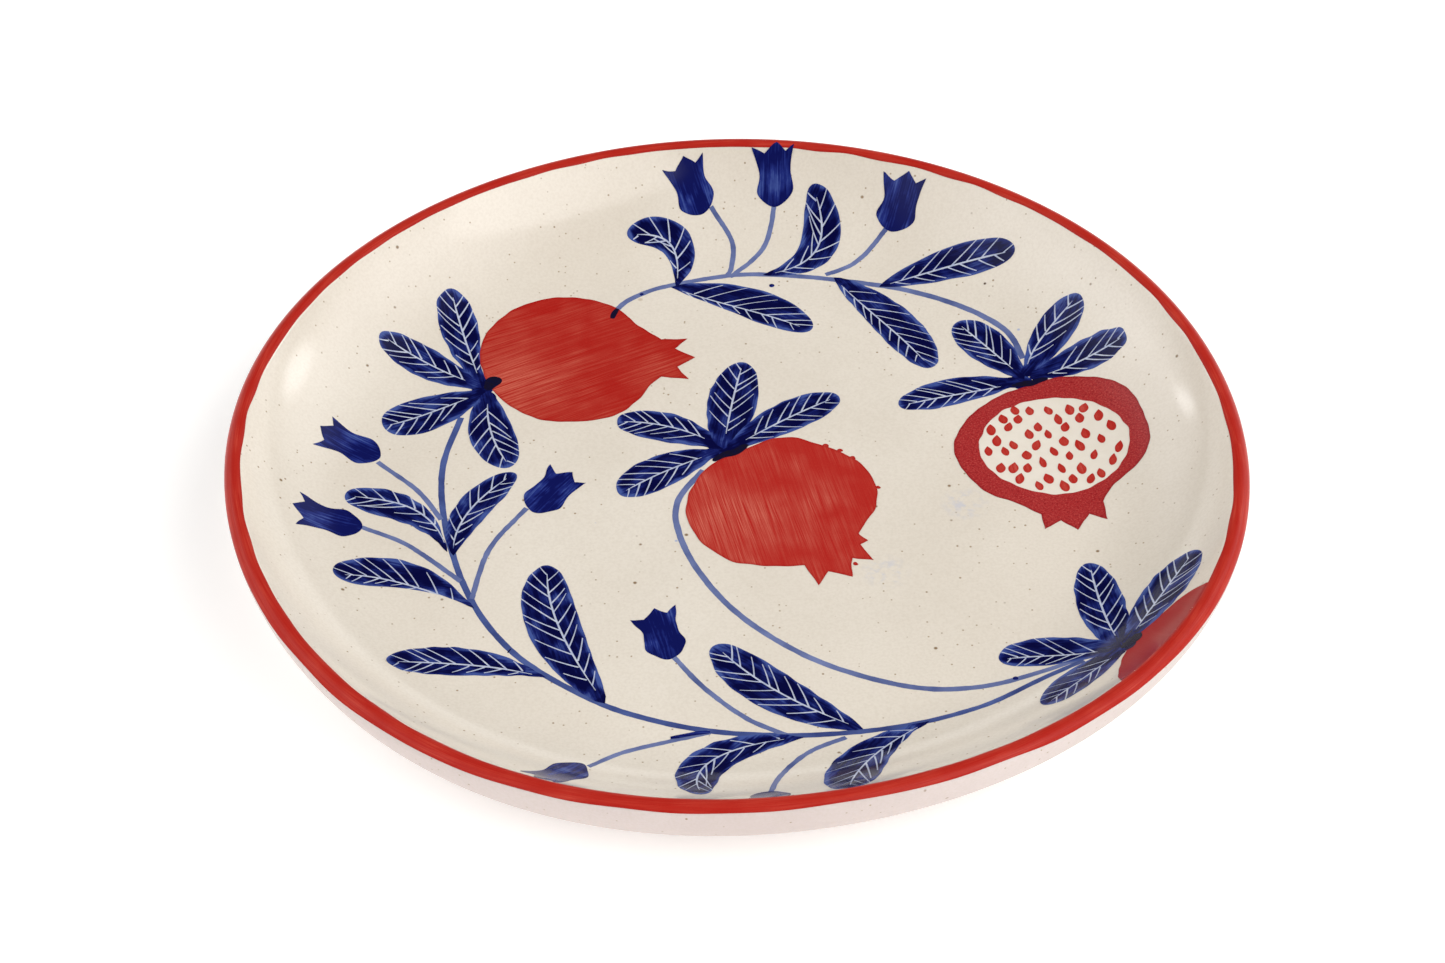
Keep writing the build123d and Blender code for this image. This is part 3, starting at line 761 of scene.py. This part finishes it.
# the stems: points along each brushed line
VINE_WIDTH = 1.672
STALK_WIDTH = 1.4
VINES = {
    "upper_vine": [(-33.2, 77.8), (-29.6, 82.2), (-20.4, 87.6), (-1.6, 92.6), (12.8, 92.6), (29.6, 90),
                   (48, 85), (64, 76.6), (75.2, 66.2), (79.2, 55)],
    "left_vine": [(-74.6, 30.8), (-78.4, 10), (-76, -14), (-68, -40.4), (-56, -59.6), (-40, -73.2),
                  (-26.3, -81.1), (-7, -87.2), (15.2, -89.2), (38.9, -86.9), (59.6, -80.7), (76.1, -71.1),
                  (86, -66.6)],
    "inner_vine": [(-9, 9.4), (-15.3, -1.9), (-15.6, -13.5), (-9.8, -30.3), (1.9, -47.8), (20.4, -63.3),
                   (42.6, -72.4), (60.3, -72.6), (76.1, -68.2), (86, -65)],
}
STALKS = [
    [(-7, 115.4), (-1, 105.4), (-1.2, 96), (-2.4, 92.9)], [(11.3, 115.6), (8, 103), (-1.6, 92)],
    [(43, 105.6), (34.4, 96.6), (25.6, 92.4)], [(-95.8, 12), (-84.8, 1.6), (-77.6, -10)],
    [(-98, -13.8), (-86.4, -19.2), (-71.2, -33.2)], [(-55.4, -5.6), (-64.4, -21.2), (-68, -39.6)],
    [(-16.1, -61.2), (-8.5, -72.2), (1.9, -83), (11.5, -88.9)], [(-36.4, -101.6), (-27, -94.1), (-7, -87.6)],
    [(7.3, -116), (10, -105.6), (16.7, -95.9), (26.2, -90.3)]]

# small marks of the brush: points along each, its width and which of two blues
DARK_MARKS = [([(-33.2, 77.8), (-34.2, 75.4), (-34.6, 73.4)], 1.6, 0),
              ([(-16.7, -89.3), (-11, -88.2), (-7, -87.6)], 1.2, 1),
              ([(-57.9, -59), (-57.2, -57.6)], 0.5, 0)]
BLUE_DOTS = [(10.2, 88, 0.7), (-26.6, 84.2, 0.5), (69, -70.1, 0.6)]
RED_DOTS = [(30.5, -27, 0.6), (37.4, 2.6, 0.55), (23.9, 19.0, 0.7), (27.6, 17.0, 0.7), (31.0, 14.2, 0.7)]


def in_line(base, tip, shift):
    """A brush place measured along and across the line from base to tip."""
    way = (Vector(tip) - Vector(base)).normalized()

    def place(spot):
        away = Vector(spot) - Vector(base)
        return away.dot(way) + shift, away.dot(to_left(way)) + shift * 0.37
    return place


def spot(x, y, size, seed):
    """A small round spot."""
    turns = [2 * math.pi * step / 14 for step in range(14)]
    return shaky([(x + size * math.cos(t), y + size * math.sin(t)) for t in turns], 0.2, seed)


def leaf_half(width, widest, t):
    """Half a leaf's width part way along it: narrow at its base, with a round tip."""
    return width / 2 * (t / widest) ** (0.5 * widest / (1 - widest)) * ((1 - t) / (1 - widest)) ** 0.5


def leaf_outline(base, middle, tip, width, widest, stub):
    left, right = [], []
    steps = 46
    for step in range(1, steps):
        t = 1 - (1 - step / steps) ** 1.5
        point, way = along(base, middle, tip, t)
        half = max(leaf_half(width, widest, t), stub * min(1, t / 0.05) if t < 0.3 else 0)
        left.append(tuple(point + to_left(way) * half))
        right.append(tuple(point - to_left(way) * half))
    return [base, *left, tip, *right[::-1]]


RIB_WIDTH = 0.54
RIB_END = 0.93              # how far up the leaf the rib goes
VEIN_SPACING = 5.3
SHORTEST_VEIN = 1.2


def leaf_veins(base, middle, tip, width, widest, bow, start, chance):
    """Strips scratched through a leaf: a rib, and side veins that lean towards the tip."""
    def rib(t):
        point, way = along(base, middle, tip, t)
        return point + to_left(way) * bow * 4 * t * (1 - t) * (1.35 - 0.7 * t), way

    length = math.dist(base, middle) + math.dist(middle, tip)
    line = [tuple(rib(start + (RIB_END - start) * step / 24)[0]) for step in range(25)]
    shares = [step / 24 for step in range(25)]
    widths = [RIB_WIDTH * min(1, 0.4 + 2.5 * share, 0.35 + 4 * (1 - share)) for share in shares]
    strips = [brush_line(line, widths)]
    count = round(length / VEIN_SPACING)
    for side in (1, -1):
        for number in range(count):
            along_rib = number + 0.5 + 0.22 * side + chance.uniform(-0.2, 0.2)
            t = start + (RIB_END - start) * along_rib / count
            root, way = rib(t)
            lean = math.radians(chance.uniform(33, 43))
            out = leaf_half(width, widest, min(t + 0.07, 0.97)) - side * bow * 4 * t * (1 - t)
            run = out * chance.choice((0.85, 0.95, 1.02, 1.1)) / math.sin(lean)
            if run < SHORTEST_VEIN:
                continue
            gap = chance.choice((-0.2, -0.1, 0, 0.5))
            across = to_left(way) * side
            points = []
            for step in range(7):
                reach = gap + (run - gap) * step / 6
                bend = lean * (1.06 - 0.12 * step / 6)
                points.append(tuple(root + way * reach * math.cos(bend) + across * reach * math.sin(bend)))
            thick = chance.uniform(0.40, 0.55)
            strips.append(brush_line(points, [thick * (1 - 0.4 * step / 6) for step in range(7)]))
    return strips


LEAF_SPACING = 1.8
LEAF_STEP = 0.006           # each leaf of a spray lies a little over the one before
HUB = 3.1                   # radius of the paint where a spray's leaves meet


def make_leaves():
    for group, (name, leaves) in enumerate(LEAVES.items()):
        films = Film()
        # half width of the leaves' stubs, and where their veins start, in a spray on a fruit and on a vine
        stub, start = (2.1, 0.17) if name in CALYXES else (0.8, 0.08)
        for number, (*shape, bow) in enumerate(leaves):
            chance = random.Random(100 * group + number)
            outline = shaky(leaf_outline(*shape, stub), 0.16, chance.random())
            brush = in_line(shape[0], shape[2], 40.0 * (group * 5 + number))
            films.add(outline, LIFT["leaf"] + LEAF_STEP * number, leaf_veins(*shape, bow, start, chance),
                      LEAF_SPACING, brush, soaked=shape[0])
        if name in CALYXES:
            centre, length, width, angle = CALYXES[name]
            turns = [math.radians(12 * step) for step in range(30)]
            tilt = Matrix.Rotation(math.radians(angle), 2)
            oval = [tuple(Vector(centre) + tilt @ Vector((length * math.cos(t), width * math.sin(t))))
                    for t in turns]
            films.add(shaky(oval, 0.3, name), LIFT["calyx"], paint=2)
            junction = leaves[0][0]
            films.add(spot(*junction, HUB, name), LIFT["leaf"] - LEAF_STEP, soaked=junction)
        films.make(name, [LEAF_BLUE, SCRATCH, DEEP_BLUE], "blue_paint", [name])


def tulip_outline(base, petals, width):
    """A tulip: a round cup on its base, ending in three pointed petals."""
    left, centre, right = [Vector(p) for p in petals]
    foot = Vector(base)
    up = (left + centre + right) / 3 - foot
    side = to_left(up).normalized()
    cup = foot + up * 0.25
    waist = foot + up * 0.6
    notches = [(left + centre) / 2 - up * 0.13, (centre + right) / 2 - up * 0.13]
    outline = [left, waist + side * (0.44 * width), cup + side * (0.5 * width), foot,
               cup - side * (0.5 * width), waist - side * (0.44 * width), right]
    crown = [right, notches[1], centre, notches[0], left]
    return smooth([tuple(p) for p in outline]) + straight([tuple(p) for p in crown])[1:-1]


def over_band(lift):
    """A lift that rises where the paint crosses the rim's band."""
    return lambda x, y: lift + BAND_RISE * min(1.0, max(0.0, math.hypot(x, y) - BAND_FROM))


def make_tulips():
    for group, (name, flowers) in enumerate(TULIPS.items()):
        films = Film()
        for number, (base, petals, width) in enumerate(flowers):
            outline = shaky(tulip_outline(base, petals, width), 0.14, 31 * group + number)
            films.add(outline, over_band(LIFT["flower"]), (), LIP_SPACING,
                      in_line(base, petals[1], 500 + 60.0 * (group * 3 + number)), soaked=base)
        films.make(name, [TULIP_BLUE], "blue_paint", [name])


def fruit_ring(body, crown):
    """A fruit's outline: its round body and its pointed crown."""
    return smooth(body) + straight([body[-1], *crown, body[0]])[1:-1]


def rim_arc(start, end):
    """Points just under the band, from beside one point to beside another."""
    first = math.atan2(start[1], start[0])
    last = math.atan2(end[1], end[0])
    turns = [first + (last - first) * step / 60 for step in range(61)]
    return [(UNDER_BAND * math.cos(turn), UNDER_BAND * math.sin(turn)) for turn in turns]


def make_fruits():
    whole = (("pomegranate_left", LEFT_FRUIT, FRUIT_RED), ("pomegranate_centre", CENTRE_FRUIT, STEEP_RED))
    for name, fruit, material in whole:
        films = Film()
        films.add(shaky(fruit_ring(*fruit), 0.14, name), LIFT["fruit"])
        films.make(name, [material], "red_paint", [name])
    films = Film()
    opening = shaky(smooth(RIND_OPENING, closed=True), 0.2, 5)
    films.add(shaky(fruit_ring(*RIND), 0.14, 4), LIFT["fruit"], [opening], wash=BARE)
    films.make("pomegranate_cut_rind", [RIND_RED, BARE_WASH], "dark_red_paint", ["pomegranate_cut_rind"])
    films = Film()
    within = [p for p in smooth(EDGE_FRUIT) if math.hypot(*p) < UNDER_BAND]
    ring = within + rim_arc(within[-1], within[0])
    films.add(shaky(ring, 0.1, 6), EDGE_LIFT, (), EDGE_SPACING)
    films.make("pomegranate_edge", [SHADED_EDGE_RED], "red_paint", ["pomegranate_edge"])


def make_seeds():
    films = Film()
    chance = random.Random(7)
    for height, row in SEED_ROWS:
        for x in row:
            tilt = chance.uniform(-0.32, 0.32)
            long = SEED_LENGTH * chance.uniform(0.86, 1.14)
            wide = SEED_WIDTH * chance.uniform(0.86, 1.16)
            ring = []
            for step in range(26):
                turn = 2 * math.pi * step / 26
                narrow = 1 - 0.62 * max(0.0, math.cos(turn)) ** 1.5
                across, up = wide / 2 * math.sin(turn) * narrow, long / 2 * math.cos(turn)
                ring.append((x + across * math.cos(tilt) + up * math.sin(tilt),
                             height + up * math.cos(tilt) - across * math.sin(tilt)))
            films.add(shaky(ring, 0.12, chance.random()), LIFT["seed"] + chance.uniform(0, 0.04), (), FINE)
    films.make("pomegranate_seeds", [SEED_RED], "red_paint", ["pomegranate_seeds"])


def add_stem(films, points, step, width, wobble, waves, seed, lift):
    """A stem brushed along a line, with an uneven width."""
    line = smooth(points, step=step)
    wave = unevenness(random.Random(seed), 5, *waves)
    widths = [width * (1 + wobble * wave(6.28 * n / len(line))) for n in range(len(line))]
    films.add(shaky(brush_line(line, widths), 0.05, seed), lift, (), FINE)


def make_stems():
    for number, (name, points) in enumerate(VINES.items()):
        films = Film()
        add_stem(films, points, 0.8, VINE_WIDTH, 0.12, (20, 90), number, LIFT["stem"])
        films.make(name, [VINE_BLUE if name == "left_vine" else STEM_BLUE], "stem_paint", [name])
    films = Film()
    for number, points in enumerate(STALKS):
        lift = LIFT["stem"] + 0.004 * (1 + number % 3)
        add_stem(films, points, OUTLINE_STEP, STALK_WIDTH, 0.16, (3, 20), 50 + number, lift)
    films.make("flower_stalks", [STEM_BLUE], "stem_paint", ["flower_stalks"])


def make_marks():
    """Touches of paint that the brush left beside the motifs."""
    films = Film()
    for number, (points, width, paint) in enumerate(DARK_MARKS):
        line = smooth(points, step=0.4)
        widths = [width * (0.6 + 0.4 * math.sin(math.pi * (n + 0.5) / len(line))) for n in range(len(line))]
        films.add(shaky(brush_line(line, widths), 0.15, number), LIFT["calyx"], (), FINE, paint=paint)
    for number, (x, y, size) in enumerate(BLUE_DOTS):
        films.add(spot(x, y, size, number), over_band(LIFT["fruit"]), (), FINE, paint=1)
    films.make("brush_touches_blue", [DEEP_BLUE, TULIP_BLUE], "blue_paint", [])
    films = Film()
    for number, (x, y, size) in enumerate(RED_DOTS):
        films.add(spot(x, y, size, number + 9), LIFT["fruit"] - 0.01, (), FINE)
    films.make("brush_touches_red", [STEEP_RED], "red_paint", [])


# how much the floor shines by itself, which keeps a pale backdrop pale
FLOOR_GLOW = 0.36


def make_floor():
    """A wide pale sweep that curves up far away, so that low views have a backdrop too."""
    flat, bend, top = 4.2, 0.8, 1.1     # metres
    section = [(r, 0.0) for r in (0.0, 0.5, 1.5, 3.0)]
    section += arc_line(flat, bend, bend, 0, math.pi / 2, 10)
    section.append((flat + bend, top))
    around = 96
    verts = [(r * math.cos(2 * math.pi * s / around), r * math.sin(2 * math.pi * s / around), z)
             for r, z in section for s in range(around)]
    rings = [[row * around + s % around for s in range(around + 1)] for row in range(len(section))]
    mesh = bpy.data.meshes.new("floor")
    mesh.from_pydata(verts, [], joined(rings))
    mesh.polygons.foreach_set("use_smooth", [True] * len(mesh.polygons))
    material, _, shader = surface("pale_floor", 0.9, 0.0)
    shader.inputs["Base Color"].default_value = (0.86, 0.85, 0.83, 1)
    shader.inputs["Emission Color"].default_value = (1, 1, 1, 1)
    shader.inputs["Emission Strength"].default_value = FLOOR_GLOW
    mesh.materials.append(material)
    floor = linked("floor", mesh)


def add_light(name, direction, distance, size, power, colour=(1, 1, 1)):
    """A round soft box that faces the plate from a direction."""
    data = bpy.data.lights.new(name, "AREA")
    data.shape = "ELLIPSE"
    data.size, data.size_y = size
    data.energy = power
    data.color = colour
    light = linked(name, data)
    light.location = Vector(direction).normalized() * distance
    light.rotation_euler = Vector(direction).to_track_quat("Z", "Y").to_euler()


def make_lights():
    """A room that is bright to the sides and dark overhead, a soft key from the front right, and two
    small boxes behind that show as highlights on the side walls."""
    world = bpy.context.scene.world or bpy.data.worlds.new("world")
    bpy.context.scene.world = world
    world.use_nodes = True
    tree = world.node_tree
    way = node(tree, "ShaderNodeTexCoord").outputs["Generated"]
    parts = node(tree, "ShaderNodeSeparateXYZ", Vector=way)
    sides = spread(tree, combine(tree, "ABSOLUTE", parts.outputs["X"]), 0.30, 0.75)
    high = spread(tree, parts.outputs["Z"], 0.22, 0.50)
    background = tree.nodes["Background"]
    room = mix(tree, combine(tree, "MULTIPLY", sides, high), (0.035, 0.037, 0.040), (2.55, 2.57, 2.6))
    tree.links.new(room, background.inputs["Color"])
    background.inputs["Strength"].default_value = 1.0
    add_light("key", (0.70, -0.62, 0.95), 3.0, (2.5, 2.5), 36, (1, 0.985, 0.96))
    add_light("far_left_box", (-0.69, 0.60, 0.41), 1.5, (0.13, 0.22), 0.38)
    add_light("far_right_box", (0.75, 0.54, 0.385), 1.5, (0.28, 0.28), 0.75)


make_floor()
make_lights()
make_body()
make_band()
make_leaves()
make_tulips()
make_fruits()
make_seeds()
make_stems()
make_marks()

# ---- camera ----
CAMERA_PLACE = Vector((-0.00384, -0.6699, 0.6108))
LOOK_AT = Vector((-0.00384, -0.0015, 0.0130))
ROLL = math.radians(-0.12)
camera = linked("camera", bpy.data.cameras.new("camera"))
camera.data.lens = 85
camera.data.sensor_width = 36
camera.location = CAMERA_PLACE
facing = (LOOK_AT - CAMERA_PLACE).to_track_quat("-Z", "Y").to_matrix() @ Matrix.Rotation(ROLL, 3, "Z")
camera.rotation_euler = facing.to_euler()
bpy.context.scene.camera = camera
bpy.context.scene.view_settings.view_transform = "Standard"
